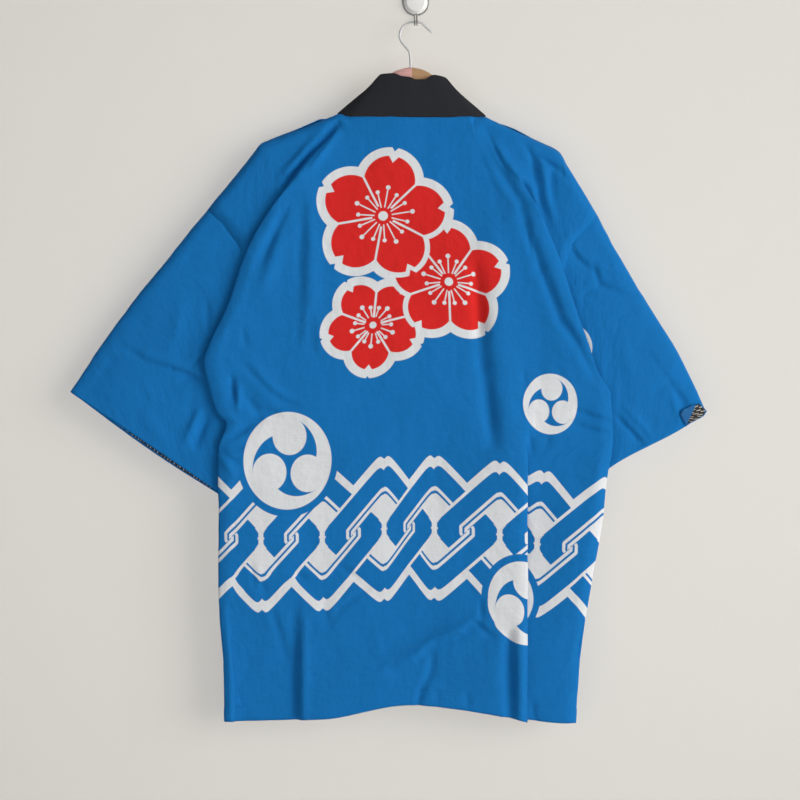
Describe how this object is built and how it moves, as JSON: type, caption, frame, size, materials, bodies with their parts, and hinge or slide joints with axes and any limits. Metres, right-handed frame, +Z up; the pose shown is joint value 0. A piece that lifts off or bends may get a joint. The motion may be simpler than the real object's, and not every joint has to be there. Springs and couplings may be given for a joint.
{
  "type": "kimono jacket on a hanger",
  "caption": "Straight-cut blue cotton kimono jacket with a black collar band, hung on a bowed hanger from a small wall hook, back outwards.",
  "frame": {"origin": "middle of the wall hook plate's back face, on the wall", "axes": "+Z up, +Y into the wall, +X to the right for someone who faces the wall and looks at the jacket's back"},
  "size_m": [0.8718, 0.0581, 1.0108],
  "materials": {
    "printed_cotton": "matt woven cotton, blue with a white print",
    "black_cotton": "matt woven cotton, black",
    "facing_print": "matt cotton, black and white print",
    "hanger_wood": "satin varnish, one half painted pink",
    "hook_wire": "bright plated wire",
    "white_plastic": "smooth white"
  },
  "bodies": {
    "root": {"back_panel": "printed_cotton", "front_left": "printed_cotton", "front_right": "printed_cotton", "sleeve_left": "printed_cotton", "sleeve_right": "printed_cotton", "collar_neck": "black_cotton", "collar_left": "black_cotton", "collar_right": "black_cotton", "cuff_facing_left": "facing_print", "cuff_facing_right": "facing_print", "hanger_bar": "hanger_wood", "hanger_hook": "hook_wire", "wall_plate": "white_plastic", "wall_wire": "hook_wire"}
  },
  "joints": []
}
